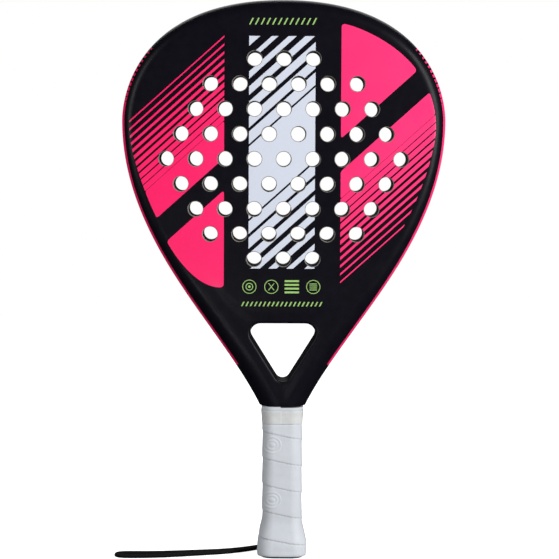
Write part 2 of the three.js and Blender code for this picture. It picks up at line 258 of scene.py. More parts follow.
def wrist_cord(material):
    """A braid of eight pairs of strands, as diamonds that stand proud of a round cord."""
    around, spacing = 40, 0.3
    strands, lay, relief = 4, 2 * math.pi / 6.4, 0.09
    path, length = curve_through(CORD_ROUTE, spacing)
    sides, ups = carried_frames(path)
    angle = np.arange(around) * 2 * math.pi / around
    rings = []
    for i, centre in enumerate(path):
        twist = i * spacing * lay * strands / 2
        crossing = np.cos(strands * angle + twist) * np.cos(strands * angle - twist)
        radius = (CORD_DIAMETER / 2 - relief + relief * crossing)[:, None]
        rings.append(centre + radius * (np.outer(np.cos(angle), sides[i]) + np.outer(np.sin(angle), ups[i])))
    cord = loft("wrist_cord_braid", rings, [material], smooth_angle=60)
    finish_piece(cord, "wrist_cord")
    return cord


# ---- outline of the head and arms

OUTLINE_STEP = 2.2
OUTLINE_TAIL = 16.0
TAIL_STEPS = 8


def bezier(start, pull1, pull2, end, steps=300):
    t = np.linspace(0, 1, steps)[:, None]
    start, pull1, pull2, end = (np.array(p, float) for p in (start, pull1, pull2, end))
    return (1 - t)**3 * start + 3 * (1 - t)**2 * t * pull1 + 3 * (1 - t) * t**2 * pull2 + t**3 * end


def respaced(points, spacing):
    along = lengths_along(points)
    return points_at(np.linspace(0, along[-1], round(along[-1] / spacing) + 1), along, points)


def racket_outline():
    """From the right shoulder over the tip to the left shoulder, with a straight tail past each one."""
    shoulder = np.array((SHOULDER_HALF_WIDTH, SHOULDER_HEIGHT))
    tail = shoulder - np.array(ARM_PULL)
    tail *= OUTLINE_TAIL / np.linalg.norm(tail)
    arm = bezier(
        shoulder, ARM_PULL, (HEAD_HALF_WIDTH, WIDEST_HEIGHT - LOWER_PULL), (HEAD_HALF_WIDTH, WIDEST_HEIGHT)
    )
    top = bezier(
        (HEAD_HALF_WIDTH, WIDEST_HEIGHT), (HEAD_HALF_WIDTH, WIDEST_HEIGHT + UPPER_PULL),
        (TIP_PULL, LENGTH), (0, LENGTH),
    )
    right = np.vstack([arm, top[1:]])
    path = respaced(np.vstack([right, right[-2::-1] * (-1, 1)]), OUTLINE_STEP)
    straight = np.linspace(1, 0, TAIL_STEPS, endpoint=False)[:, None]
    before = shoulder + tail * straight
    return np.vstack([before, path, before[::-1] * (-1, 1)])


OUTLINE = racket_outline()
TANGENTS = np.gradient(OUTLINE, axis=0)
TANGENTS /= np.linalg.norm(TANGENTS, axis=1)[:, None]
INWARDS = np.column_stack([-TANGENTS[:, 1], TANGENTS[:, 0]])


def cut_below(path, height):
    """The part of an arch-shaped path above one height, with an end point exactly at it."""
    inside = np.flatnonzero(path[:, 1] > height + 1e-6)
    first, last = inside[0], inside[-1]

    def crossing(low, high):
        share = (height - path[low, 1]) / (path[high, 1] - path[low, 1])
        return [path[low, 0] + share * (path[high, 0] - path[low, 0]), height]

    return np.vstack([crossing(first - 1, first), path[first:last + 1], crossing(last + 1, last)])


def inset_path(distance, foot=SHOULDER_HEIGHT):
    return cut_below(OUTLINE + INWARDS * distance, foot)


def distance_to(points, path):
    """How far each point of the plan is from a path of straight stretches."""
    points = np.asarray(points, float)
    start, step = path[:-1], np.diff(path, axis=0)
    squared = (step**2).sum(1)
    nearest = np.empty(len(points))
    for i in range(0, len(points), 2000):
        away = points[i:i + 2000, None] - start[None]
        share = np.clip((away * step).sum(2) / squared, 0, 1)
        nearest[i:i + 2000] = np.sqrt(((away - share[..., None] * step)**2).sum(2).min(1))
    return nearest


# ---- throat opening and holes

THROAT_RISE = THROAT_CORNER[1] - THROAT_FOOT
THROAT_LEAN = math.atan2(THROAT_CORNER[0], THROAT_RISE)
THROAT_LEAN += math.asin((THROAT_RADII[0] - THROAT_RADII[1]) / math.hypot(THROAT_CORNER[0], THROAT_RISE))


def throat_loop(offset, steps=18, side_steps=14):
    """The throat opening's edge, counter-clockwise from its right side, moved outwards by an offset."""
    radius, foot_radius = THROAT_RADII[0] + offset, THROAT_RADII[1] + offset
    x, z = THROAT_CORNER
    corners = [
        arc((x, z), radius, -THROAT_LEAN, math.pi / 2, steps),
        arc((-x, z), radius, math.pi / 2, math.pi + THROAT_LEAN, steps),
        arc((0, THROAT_FOOT), foot_radius, math.pi + THROAT_LEAN, 2 * math.pi - THROAT_LEAN, steps),
    ]
    loop = []
    for corner, following in zip(corners, corners[1:] + corners[:1]):
        share = np.linspace(0, 1, side_steps)[1:-1, None]
        loop += [corner, corner[-1] + (following[0] - corner[-1]) * share]
    return np.vstack(loop)


def hole_centres():
    middle = (len(HOLES_IN_ROW) - 1) / 2
    return [
        ((i - (count - 1) / 2) * HOLE_PITCH, MIDDLE_ROW + (middle - row) * ROW_PITCH)
        for row, count in enumerate(HOLES_IN_ROW) for i in range(count)
    ]


THROAT_EDGE = throat_loop(0)
THROAT_EDGE_CLOSED = np.vstack([THROAT_EDGE, THROAT_EDGE[:1]])
HOLES = hole_centres()
HOLE_STEPS = 44


# ---- depth of the racket's face

RIDGE_INSET = 14.5
RIDGE_WIDTH = 0.7
RIDGE_WIDENING = 6.0
RIDGE_WIDENS = (140, 220)
RIDGE_ENDS = (185, 240)
OUTER_SLOPE = 0.16
INNER_SLOPE = 0.12
INNER_FALL = 1.1
INNER_STARTS = (SHOULDER_HEIGHT, 133)
INNER_ENDS = (202, 240)
PLATEAU_SLOPE = (-1.5, 10.0)
PLATEAU_EDGE = ((0, 22, 30, 40, 60, 80, 105), (191.5, 191.5, 193.5, 200, 224, 250, 285))
THROAT_ROUND = 2.2
CHAMFER = 0.45


def soft_ramp(value, width):
    return (np.sqrt(value**2 + width**2) + value) / 2


def whole_depth(height):
    """Half the depth of the face at its deepest, which shrinks towards the handle."""
    return np.interp(height, (SHOULDER_HEIGHT, TAPER_START), (SHOULDER_HALF_DEPTH, HALF_DEPTH))


def face_depth(points):
    """Half the racket's depth at points of the plan: the rounded rim, and the sculpted arms."""
    inset = distance_to(points, OUTLINE)
    x, z = np.abs(points[:, 0]), points[:, 1]
    rise = 1 - np.clip(inset, 0, RIM_ROUND) / RIM_ROUND
    depth = RIM_FLAT + (whole_depth(z) - RIM_FLAT) * np.sqrt(np.clip(1 - rise**2, 0, 1))
    width = RIDGE_WIDTH + RIDGE_WIDENING * smoothstep(z, *RIDGE_WIDENS)
    outer = OUTER_SLOPE * soft_ramp(RIDGE_INSET - inset, width) * (1 - smoothstep(z, *RIDGE_ENDS))
    below = 1 - smoothstep(z - np.interp(x, *PLATEAU_EDGE), *PLATEAU_SLOPE)
    inner = INNER_FALL * np.tanh(soft_ramp(inset - RIDGE_INSET, width) * INNER_SLOPE / INNER_FALL)
    inner *= below * (1 - smoothstep(z, *INNER_ENDS)) * smoothstep(z, *INNER_STARTS)
    return depth - outer - inner


def throat_drop(points):
    """How far the laminate rolls over at the edge of the throat opening."""
    reach = np.clip(THROAT_ROUND - distance_to(points, THROAT_EDGE_CLOSED), 0, THROAT_ROUND)
    return THROAT_ROUND - np.sqrt(THROAT_ROUND**2 - reach**2)


# ---- print on the faces

INK_LACQUER, INK_PINK, INK_PALE, INK_GREEN, INK_EDGE = range(5)
PRINT_CENTRE = np.array((-1.0, 318.8))
PRINT_SCALE = (1.0, 0.993)
PRINT_INNER = 46.0
HATCH_SLOPE = 0.905
HATCH_PITCH = 6.126
STRIPES = 11
STRIPE_WIDTH = 1.34
STRIPE_GROWTH = 0.435
LAST_CUT = 0.1


def clip(polygon, normal, limit):
    """The part of a polygon where normal . point <= limit."""
    kept = []
    ahead = np.roll(polygon, -1, axis=0)
    for point, following in zip(polygon, ahead):
        here, there = limit - np.dot(normal, point), limit - np.dot(normal, following)
        if here >= 0:
            kept.append(point)
        if here * there < 0:
            kept.append(point + (following - point) * here / (here - there))
    return np.array(kept)


def round_corners(polygon, reach, sharpest=25.0):
    """Replaces each corner that turns more than sharpest degrees by a curve that starts reach before it."""
    closed = np.vstack([polygon, polygon[:1]])
    along = lengths_along(closed)
    whole = along[-1]
    arriving = polygon - np.roll(polygon, 1, axis=0)
    leaving = np.roll(polygon, -1, axis=0) - polygon
    turn = np.degrees(np.arctan2(
        arriving[:, 0] * leaving[:, 1] - arriving[:, 1] * leaving[:, 0], (arriving * leaving).sum(1)
    ))
    corners = np.flatnonzero(np.abs(turn) > sharpest)
    rounded = []
    for i, point in enumerate(polygon):
        gaps = np.abs((along[i] - along[corners] + whole / 2) % whole - whole / 2)
        if i in corners:
            before, after = points_at((along[i] + np.array((-reach, reach))) % whole, along, closed)
            t = np.linspace(0, 1, 9)[:, None]
            rounded.append((1 - t)**2 * before + 2 * t * (1 - t) * point + t**2 * after)
        elif not len(gaps) or gaps.min() > reach:
            rounded.append(point[None])
    return np.vstack(rounded)


def side_region(foot_pull=(78.2, -108.0)):
    """The print's region beside the panel, as distances from the print's middle."""
    widest = (120.8, 25.9)
    upper = bezier((PRINT_INNER, 107.8), (44.1, 110), (120.8, 91.6), widest, 40)
    lower = bezier(widest, (120.8, -9.4), foot_pull, (PRINT_INNER, -101.4), 40)
    return np.vstack([upper, lower[1:]])


def hatched(region, first, solid):
    """Slanted stripes that grow into one solid field, in distances from the print's middle."""
    normal = np.array((HATCH_SLOPE, 1.0))
    shift = HATCH_SLOPE * PRINT_INNER
    fields = []
    for k in range(STRIPES):
        top = first - HATCH_PITCH * k
        width = STRIPE_WIDTH + STRIPE_GROWTH * k
        fields.append(clip(clip(region, normal, top + shift), -normal, width - top - shift))
    top = first - HATCH_PITCH * STRIPES + LAST_CUT
    field = clip(clip(region, normal, top + shift), -normal, -solid - shift)
    fields.append(round_corners(field, 2.2))
    return fields


def fin(region, foot):
    normal = np.array((HATCH_SLOPE, -1.0))
    return round_corners(clip(region, normal, HATCH_SLOPE * PRINT_INNER - foot), 3.0)


def side_print():
    """Pink fields: hatched at the upper left and lower right, a plain fin at each other corner."""
    region = side_region()
    flipped = region * (1, -1)
    full = side_region((84.5, -106.0))
    left = hatched(region, 98.2, 1.5) + [fin(full * (1, -1), 24.0) * (1, -1)]
    right = [field * (1, -1) for field in hatched(flipped, 97.85, 8.85)] + [fin(region, 17.2)]
    return [(field * (-1, 1), INK_PINK) for field in left] + [(field, INK_PINK) for field in right]


def panel_print():
    """A pale panel, slashed along the hatching with cuts that thin out towards its middle."""
    left, right, bottom, top = -26.5, 25.7, -86.3, 97.9
    panel = np.array([(left, bottom), (right, bottom), (right, top), (left, top)])
    normal = np.array((-HATCH_SLOPE, 1.0))
    fields = [(panel, INK_PALE)]
    pitch, cuts, overrun, widest, thinning = 12.4, 7, 12, 4.1, 0.52
    for end, start in ((1, top + overrun), (-1, bottom - overrun)):
        for k in range(cuts):
            middle = start - end * pitch * k
            half = widest - thinning * k
            slash = clip(clip(panel, normal, middle + half), -normal, half - middle)
            if len(slash) > 2:
                fields.append((slash, INK_LACQUER))
    return fields


def bar(x, z, width, height, lean=0.0):
    shear = lean * height / 2
    return np.array([
        (x - width / 2 - shear, z - height / 2), (x + width / 2 - shear, z - height / 2),
        (x + width / 2 + shear, z + height / 2), (x - width / 2 + shear, z + height / 2),
    ])


SIGN_Z = -100.8
SIGN_X = (-25.7, -8.3, 7.9, 24.9)
TICK_ROWS = ((109.5, 5.2, 54.0, 12), (-114.6, 3.6, 65.0, 19))
TICK_WIDTH = 1.15


def disc(x, radius, ink):
    return circle((x, SIGN_Z), radius, 28), ink


def small_print():
    """Green ticks above and below, and four plain signs: rings, crossed bars, and stacked bars."""
    fields = []
    for z, height, width, count in TICK_ROWS:
        for i in range(count):
            x = (i - (count - 1) / 2) * (width / count)
            fields.append((bar(x, z, TICK_WIDTH, height, 0.5), INK_GREEN))
    rings_x, cross_x, stack_x, barred_x = SIGN_X
    for x in (rings_x, cross_x, barred_x):
        fields += [disc(x, 5.6, INK_GREEN), disc(x, 5.05, INK_LACQUER)]
    fields += [disc(rings_x, 3.0, INK_GREEN), disc(rings_x, 2.4, INK_LACQUER), disc(rings_x, 1.0, INK_GREEN)]
    fields += [(bar(cross_x, SIGN_Z, 0.7, 5.6, lean), INK_GREEN) for lean in (-0.8, 0.8)]
    for i in range(4):
        fields.append((bar(stack_x, SIGN_Z + 4.6 - 3.0 * i, 11.4, 1.5), INK_GREEN))
        fields.append((bar(barred_x, SIGN_Z + 2.4 - 1.6 * i, 6.0, 0.6), INK_GREEN))
    return fields


PRINT = [
    (field * PRINT_SCALE + PRINT_CENTRE, ink)
    for field, ink in side_print() + panel_print() + small_print()
]


# ---- bodies drawn in plan

def inside(points, polygon):
    """Which points of the plan are inside a polygon."""
    x, z = points[:, 0][:, None], points[:, 1][:, None]
    x0, z0 = polygon[:, 0], polygon[:, 1]
    x1, z1 = np.roll(x0, -1), np.roll(z0, -1)
    spans = (z0 > z) != (z1 > z)
    with np.errstate(divide="ignore", invalid="ignore"):
        crossing = x0 + (z - z0) * (x1 - x0) / (z1 - z0)
    return (spans & (x < crossing)).sum(1) % 2 == 1


def held_by(polygon, points):
    """The numbers of the points that are inside a polygon."""
    near = np.flatnonzero(((points > polygon.min(0)) & (points < polygon.max(0))).all(1))
    return near[inside(points[near], polygon)]


def triangulate(loops, paths, scattered=()):
    """Triangles over a plan: loops and paths are kept as edges, scattered points are kept as corners."""
    points, edges = [], []
    for line, closed in [(loop, True) for loop in loops] + [(path, False) for path in paths]:
        first = len(points)
        points.extend(line.tolist())
        edges.extend((i, i + 1) for i in range(first, len(points) - 1))
        if closed:
            edges.append((len(points) - 1, first))
    points.extend(np.asarray(scattered, float).reshape(-1, 2).tolist())
    corners, _, faces, _, _, _ = delaunay_2d_cdt([Vector(p) for p in points], edges, [], 0, 1e-4)
    return np.array([tuple(p) for p in corners]), np.array([face[:3] for face in faces])


def plan_body(outer, holes, loops=(), paths=(), scattered=()):
    """The plan's corners, its triangles and its border edges, outside every hole."""
    corners, faces = triangulate([outer, *holes, *loops], paths, scattered)
    middles = corners[faces].mean(1)
    kept = inside(middles, outer)
    for hole in holes:
        kept[held_by(hole, middles)] = False
    faces = faces[kept]
    used, renumbered = np.unique(faces, return_inverse=True)
    faces = renumbered.reshape(-1, 3)
    edges = np.vstack([faces[:, (0, 1)], faces[:, (1, 2)], faces[:, (2, 0)]])
    known = set(map(tuple, edges.tolist()))
    border = [(a, b) for a, b in edges.tolist() if (b, a) not in known]
    return corners[used], faces, border


def slab(name, plan, front, back, materials, paint, border_material, turned=False):
    """A closed body between two depths over a plan. Turned, it is the same body seen from the back."""
    corners, faces, border = plan
    count = len(corners)
    points = np.vstack([
        np.column_stack([corners[:, 0], front, corners[:, 1]]),
        np.column_stack([corners[:, 0], back, corners[:, 1]]),
    ])
    if turned:
        points[:, :2] *= -1
    walls = [(b, a, a + count, b + count) for a, b in border]
    everything = faces.tolist() + (faces[:, ::-1] + count).tolist() + walls
    lined = distance_to(corners[[a for a, b in border]], THROAT_EDGE_CLOSED) < 0.1
    edge_paint = np.where(lined, 0, border_material).tolist()
    face_material = list(paint) + [border_material] * len(faces) + edge_paint
    return mesh_object(name, points, everything, materials, face_material)


def face_plan():
    """The plan of a face laminate, with the print's edges and the sculpting's corners in it."""
    edge = inset_path(SEAM_INSET + 0.1)
    rings = [inset_path(d) for d in (3, 3.8, 4.8, 6, 7.5, 9.2, 11, 12.2)]
    rings += [inset_path(d, 128) for d in (13.4, 14.5, 15.6)]
    throat_rings = [throat_loop(d) for d in (0.15, 0.4, 0.75, 1.2, THROAT_ROUND, 3.4)]
    grid = np.array([(x, z) for z in np.arange(124, 247, 2.6) for x in np.arange(-96, 97, 2.6)])
    grid = grid[(distance_to(grid, OUTLINE) > 16.5) & inside(grid, edge)]
    grid = grid[(distance_to(grid, THROAT_EDGE_CLOSED) > 4.2) & ~inside(grid, THROAT_EDGE)]
    holes = [circle(centre, HOLE_RADIUS, HOLE_STEPS) for centre in HOLES]
    lips = [circle(centre, HOLE_RADIUS + CHAMFER, HOLE_STEPS) for centre in HOLES]
    print_loops = [field for field, ink in PRINT]
    return plan_body(edge, [THROAT_EDGE, *holes], lips + throat_rings + print_loops, rings, grid)


def hole_drop(points):
    """The chamfer round each drilled hole."""
    nearest = np.min([np.hypot(*(points - centre).T) for centre in HOLES], axis=0)
    return np.clip(HOLE_RADIUS + CHAMFER - nearest, 0, CHAMFER) * 0.8


def painted(plan):
    """The ink on each triangle of a face: the last printed field that holds its middle."""
    corners, faces, _ = plan
    middles = corners[faces].mean(1)
    ink = np.full(len(faces), INK_LACQUER)
    for field, colour in PRINT:
        ink[held_by(field, middles)] = colour
    ink[hole_drop(middles) > 0.05] = INK_EDGE
    return ink


# ---- hollow bodies

def hollow_loft(name, outer, inner, closed, materials, paint=None, smooth_angle=32.0):
    """A tube with an outer and an inner surface, each through its own rings of points."""
    count, base = len(outer[0]), len(outer) * len(outer[0])
    faces, colours = [], []
    for i, j, face in ring_faces(len(outer), count, closed=closed):
        faces.append(face)
        colours.append(paint(i, j) if paint else 0)
    faces += [face[::-1] for i, j, face in ring_faces(len(inner), count, base, closed)]
    if not closed:
        last, inner_last = base - count, base + (len(inner) - 1) * count
        for j in range(count):
            k = (j + 1) % count
            faces.append((j, base + j, base + k, k))
            faces.append((last + j, last + k, inner_last + k, inner_last + j))
    colours += [0] * (len(faces) - len(colours))
    return mesh_object(name, np.vstack([*outer, *inner]), faces, materials, colours, smooth_angle)


# ---- frame tube

TUBE_WIDTH = 12.0
TUBE_WALL = 3.2
TUBE_HOLLOW = 7.2
TUBE_HOLLOW_DEPTH = 0.89
LEG_WIDTH = 9.0
LEG_HOLLOW = (0.47, 0.76)
LEG_HEIGHTS = (HANDLE_FOOT, 60, SHOULDER_HEIGHT - 1.2)
LEVEL_STRETCH = 11
RIM_BLACK, RIM_PINK = 0, 1
BAND_FOOT = 155.0
BAND_TOP = 364.5
DASH_TOP = 408.5
DASHES = 12
DASH_HALF = 0.42
DASH_THINNING = 0.025
TUBE_ARC = np.array((0.0, 0.05, 0.2, 0.5, 0.95, 1.55, SEAM_INSET - 0.1))
TUBE_TOP = np.array((SEAM_INSET + 0.25, 4.0, 6.0, 8.0, 10.0, TUBE_WIDTH))


def tube_sections():
    """Each point of the tube's section: its inset, its side, and whether no laminate covers it."""
    bare_points, top_points = len(TUBE_ARC), len(TUBE_TOP)
    insets = np.concatenate([TUBE_ARC[::-1], [0.0], TUBE_ARC, TUBE_TOP, [TUBE_WIDTH], TUBE_TOP[::-1]])
    sides = np.repeat([-1.0, 0.0, 1.0, 0.0, -1.0], [bare_points, 1, bare_points + top_points, 1, top_points])
    bare = np.repeat([True, False], [2 * bare_points + 1, 2 * top_points + 1])
    return insets, sides, bare


def band_stations(along, heights):
    """Where the pink band and its growing dashes start and end, as lengths along the outline."""
    half = len(along) // 2

    def at(height):
        return np.interp(height, heights[:half + 1], along[:half + 1])

    foot, solid, top = at(BAND_FOOT), at(BAND_TOP), at(DASH_TOP)
    pitch = (top - solid) / DASHES
    spans = [(foot, solid)]
    for k in range(DASHES):
        middle = solid + (k + 0.5) * pitch
        half_dash = pitch * (DASH_HALF - DASH_THINNING * k)
        spans.append((middle - half_dash, middle + half_dash))
    whole = along[-1]
    return spans + [(whole - end, whole - start) for start, end in spans]


def frame_rim(materials):
    """The hollow tube up one leg, round the head and down the other leg, banded in pink outside."""
    path, inwards = OUTLINE[TAIL_STEPS:-TAIL_STEPS], INWARDS[TAIL_STEPS:-TAIL_STEPS]
    along = lengths_along(path)
    spans = band_stations(along, path[:, 1])
    edges = np.array(spans).ravel()
    regular = along[(np.abs(along[:, None] - edges).min(1) > 0.5)]
    stations = np.sort(np.concatenate([regular, edges]))
    insets, sides, bare = tube_sections()
    outer, inner = [], []

    def add_leg(side, heights):
        across = insets * LEG_WIDTH / TUBE_WIDTH
        corner = np.clip(HANDLE_CORNER - across, 0, HANDLE_CORNER)
        depth = HANDLE_HALF_DEPTH - HANDLE_CORNER + np.sqrt(HANDLE_CORNER**2 - corner**2)
        for height in heights:
            for rings, x, y in (
                (outer, HANDLE_HALF_WIDTH - across, depth),
                (inner, HANDLE_HALF_WIDTH - TUBE_WALL - across * LEG_HOLLOW[0], depth * LEG_HOLLOW[1]),
            ):
                rings.append(np.column_stack([side * x, sides * y, np.full(len(x), height)]))

    add_leg(1, LEG_HEIGHTS)
    for s in stations:
        point, normal = points_at(s, along, path), points_at(s, along, inwards)
        level = np.array((-np.sign(point[0]), 0.0))
        turn = smoothstep(min(s, along[-1] - s), 0, LEVEL_STRETCH)
        normal = normal * turn + level * (1 - turn)
        normal /= np.linalg.norm(normal)
        plan = point + normal * insets[:, None]
        depth = face_depth(plan) - np.where(bare, 0.0, LAMINATE + GAP)
        outer.append(np.column_stack([plan[:, 0], sides * depth, plan[:, 1]]))
        hollow = point + normal * (TUBE_WALL + TUBE_HOLLOW * insets / TUBE_WIDTH)[:, None]
        inner.append(np.column_stack([hollow[:, 0], sides * depth * TUBE_HOLLOW_DEPTH, hollow[:, 1]]))
    add_leg(-1, LEG_HEIGHTS[::-1])

    legs = [-1] * len(LEG_HEIGHTS)
    middles = np.concatenate([legs, (stations[1:] + stations[:-1]) / 2, legs])
    pink = [any(start < s < end for start, end in spans) for s in middles]
    arc_count = 2 * len(TUBE_ARC)

    def paint(i, j):
        return RIM_PINK if pink[i] and j < arc_count else RIM_BLACK

    return hollow_loft("frame_rim", outer, inner, False, materials, paint, 40.0)


# ---- throat tube and foam core

LINER_WIDTHS = np.linspace(4, 10.6, 34)
LINER_RECESS = 4.3
LINER_BEVEL = 1.2
LINER_WALL = 1.8
CORE_INSET = 12.3


def throat_liner(materials):
    """The tube round the throat opening, as wide as the frame tube leaves room for."""
    loop = throat_loop(0, 22, 16)
    ahead = np.roll(loop, -1, axis=0) - np.roll(loop, 1, axis=0)
    ahead /= np.linalg.norm(ahead, axis=1)[:, None]
    outwards = np.column_stack([ahead[:, 1], -ahead[:, 0]])
    outer, inner = [], []
    for point, normal in zip(loop, outwards):
        free = distance_to(point + normal * LINER_WIDTHS[:, None], OUTLINE) > CORE_INSET
        width = LINER_WIDTHS[free].max(initial=LINER_WIDTHS[0])
        half = whole_depth(point[1]) - LINER_RECESS
        for rings, wall in ((outer, 0.0), (inner, LINER_WALL)):
            near, far, deep = wall, width - wall, half - wall
            corners = [
                (far, -deep), (far, 0), (far, deep), (near + LINER_BEVEL, deep), (near, deep - LINER_BEVEL),
                (near, 0), (near, LINER_BEVEL - deep), (near + LINER_BEVEL, -deep),
            ]
            out, y = np.array(corners).T
            rings.append(np.column_stack([point[0] + normal[0] * out, y, point[1] + normal[1] * out]))
    return hollow_loft("throat_liner", outer, inner, True, materials, smooth_angle=40)


def drilled_core(materials):
    outer = inset_path(CORE_INSET, CORE_FOOT)
    plan = plan_body(outer, [circle(centre, HOLE_RADIUS, HOLE_STEPS) for centre in HOLES])
    depth = face_depth(plan[0]) - LAMINATE - GAP
    return slab("drilled_core", plan, -depth, depth, materials, [0] * len(plan[1]), 0)


# ---- handle

def section(offset, shares):
    """Points of the handle's section by their share of the way round, from its left side by the front."""
    half = np.array((HANDLE_HALF_WIDTH, HANDLE_HALF_DEPTH))
    flat_x, flat_y = half - HANDLE_CORNER
    quarter = HANDLE_CORNER * math.pi / 2
    halves = [flat_y, quarter, 2 * flat_x, quarter, flat_y]
    stops = np.cumsum([0, *halves[:-1], 2 * flat_y, *halves[1:]])
    where = (np.asarray(shares, float) % 1.0) * stops[-1]
    angle = math.pi + np.interp(where, stops, np.repeat(np.arange(5), 2) * math.pi / 2)
    x = np.interp(where, stops, flat_x * np.repeat([-1, 1, -1], [3, 4, 3]))
    y = np.interp(where, stops, flat_y * np.repeat([0, -1, 1, 0], [1, 4, 4, 1]))
    reach = HANDLE_CORNER + offset
    return np.column_stack([x + reach * np.cos(angle), y + reach * np.sin(angle)])


PERIMETER = 4 * (HANDLE_HALF_WIDTH + HANDLE_HALF_DEPTH - 2 * HANDLE_CORNER) + 2 * math.pi * HANDLE_CORNER
WRAP_OUTSIDE = 2.8
WRAP_INSIDE = 1.9
WRAP_PRESSED = 2.45
WRAP_HALF = (HANDLE_HALF_WIDTH + WRAP_OUTSIDE, HANDLE_HALF_DEPTH + WRAP_OUTSIDE)
TAPE_OUTSIDE = 3.2
TAPE_INSIDE = 2.52
TAPE_LAP = 0.14
TAPE_WRINKLE = 0.05
TAPE_EDGE = 0.12
CAP_OUTSIDE = 1.6
CAP_INSIDE = 0.3
CAP_FLOOR = 2.5


def handle_ring(offset, shares, height):
    """One ring round the handle, widened by the butt's flare and rounded off at its foot."""
    core = section(0.0, shares)
    ring = core + (section(1.0, shares) - core) * np.reshape(offset, (-1, 1))
    height = np.broadcast_to(np.asarray(height, float), len(ring))
    share = 1 - smoothstep(height, FLARE_FOOT, FLARE_TOP)
    rise = np.clip(height / BUTT_ROUND, 0, 1)
    rounding = BUTT_ROUND * (1 - np.sqrt(rise * (2 - rise)))
    ring[:, 0] *= 1 + (share * FLARE_WIDTH - rounding) / WRAP_HALF[0]
    ring[:, 1] *= 1 + (share * FLARE_DEPTH - rounding) / WRAP_HALF[1]
    return np.column_stack([ring, height])


WRAP_STEPS = 224
WRAP_RINGS = 230
INNER_RINGS = 40
WRAP_PITCH = 21.3
WRAP_START = 104.6
WRAP_STEP = 0.55
WRAP_LAP_CURVE = 1.6
WRAP_GROOVES = ((0.0, 0.018, 0.22), (1.0, 0.035, 0.132))
WRAP_SINK = 0.12
WRAP_RIPPLE = 0.035
COLLAR_SWELL = 0.9
WRAP_FRONT = 0.25
WRAP_END_SHARE = 0.236
WRAP_TOP = GRIP_HIGH[2]
WRAP_TOP_DROP = 0.8
BADGES = ((-7.5, 91.9), (-7.5, 47.6))
BADGE_RINGS = ((6.2, 0.55), (3.6, 0.5), (0.0, 1.5))
BADGE_RELIEF = 0.2


def wrap_relief(shares, height):
    """Thickness of the wound strip: each turn laps over the one below it, and carries pressed badges."""
    phase = ((WRAP_START - height) / WRAP_PITCH - shares) % 1.0
    lap = WRAP_STEP * phase**WRAP_LAP_CURVE
    groove = sum(depth * np.exp(-((phase - middle) / width)**2) for middle, width, depth in WRAP_GROOVES)
    wound = 1 - smoothstep(height, TAPE_LOW[2] - 1.5, TAPE_LOW[2])
    relief = (lap - groove - WRAP_SINK) * wound
    across = (shares - WRAP_FRONT) * PERIMETER
    for x, z in BADGES:
        away = np.hypot(across - x, height - z)
        for radius, half_width in BADGE_RINGS:
            relief = relief + BADGE_RELIEF * np.exp(-((away - radius) / half_width)**4)
    ripple = np.sin(shares * 37 + height * 0.55) * np.sin(shares * 23 - height * 0.31)
    return relief + WRAP_RIPPLE * ripple


def collar_swell(height):
    """How far the wrap swells where its last turn climbs onto the arms."""
    return COLLAR_SWELL * smoothstep(height, TAPE_LOW[2], WRAP_TOP)


def wound_grip(materials):
    """The overgrip, its top edge a spiral that ends in a small step at the front."""
    shares = np.arange(WRAP_STEPS) / WRAP_STEPS
    foot = GRIP_LOW[2]
    top = WRAP_TOP - WRAP_TOP_DROP * ((WRAP_END_SHARE - shares) % 1.0)
    outer, inner = [], []
    margin, ramp = 0.4, 0.5
    under_tape = (TAPE_LOW[2] - margin, TAPE_HIGH[2] + margin)
    for i in range(WRAP_RINGS + 1):
        height = foot + (top - foot) * i / WRAP_RINGS
        offset = WRAP_OUTSIDE + wrap_relief(shares, height)
        pressed = smoothstep(height, under_tape[0] - ramp, under_tape[0])
        pressed = pressed * (1 - smoothstep(height, under_tape[1], under_tape[1] + ramp))
        offset = offset * (1 - pressed) + WRAP_PRESSED * pressed
        outer.append(handle_ring(offset + collar_swell(height), shares, height))
    for share in np.arange(INNER_RINGS + 1) / INNER_RINGS:
        inner.append(handle_ring(np.full(WRAP_STEPS, WRAP_INSIDE), shares, foot + (top - foot) * share))
    return hollow_loft("wound_grip", outer, inner, False, materials, smooth_angle=75)


def tape_band(materials):
    """Finishing tape: a little over one turn, with its free end at the front and soft wrinkles."""
    steps, rings = 200, 16
    shares = np.arange(steps) / steps
    low, high = TAPE_LOW[2], TAPE_HIGH[2]
    lap = TAPE_LAP * smoothstep((shares - WRAP_END_SHARE - 0.004) % 1.0, 0.70, 0.78)
    outer, inner = [], []
    for i in range(rings + 1):
        share = i / rings
        height = low + (high - low) * share + 0.12 * np.sin(shares * 2 * math.pi + 1.0)
        wrinkle = TAPE_WRINKLE * np.sin(shares * 61 + share * 5) * np.sin(shares * 17 + 2)
        wrinkle *= math.sin(math.pi * share)
        edge = TAPE_EDGE * max(0.0, 1 - min(share, 1 - share) * rings)
        swell = collar_swell(height)
        outer.append(handle_ring(TAPE_OUTSIDE + lap + wrinkle - edge + swell, shares, height))
        inner.append(handle_ring(TAPE_INSIDE + swell, shares, height))
    return hollow_loft("tape_band", outer, inner, False, materials, smooth_angle=60)


def with_cord_holes(body):
    """Cuts the two holes that the wrist cord comes out of, at the back."""
    cutters = []
    for hole in CORD_HOLES:
        x, z = circle(hole, CORD_HOLE_RADIUS, 24).T
        cutter = loft("cord_hole", [np.column_stack([x, np.full(24, y), z]) for y in CORD_HOLE_SPAN])
        cut = body.modifiers.new("cord_hole", "BOOLEAN")
        cut.operation = "DIFFERENCE"
        cut.solver = "EXACT"
        cut.object = cutter
        cutters.append(cutter)
    evaluated = body.evaluated_get(bpy.context.evaluated_depsgraph_get())
    body.data = bpy.data.meshes.new_from_object(evaluated)
    body.modifiers.clear()
    for cutter in cutters:
        bpy.data.objects.remove(cutter)
    return body


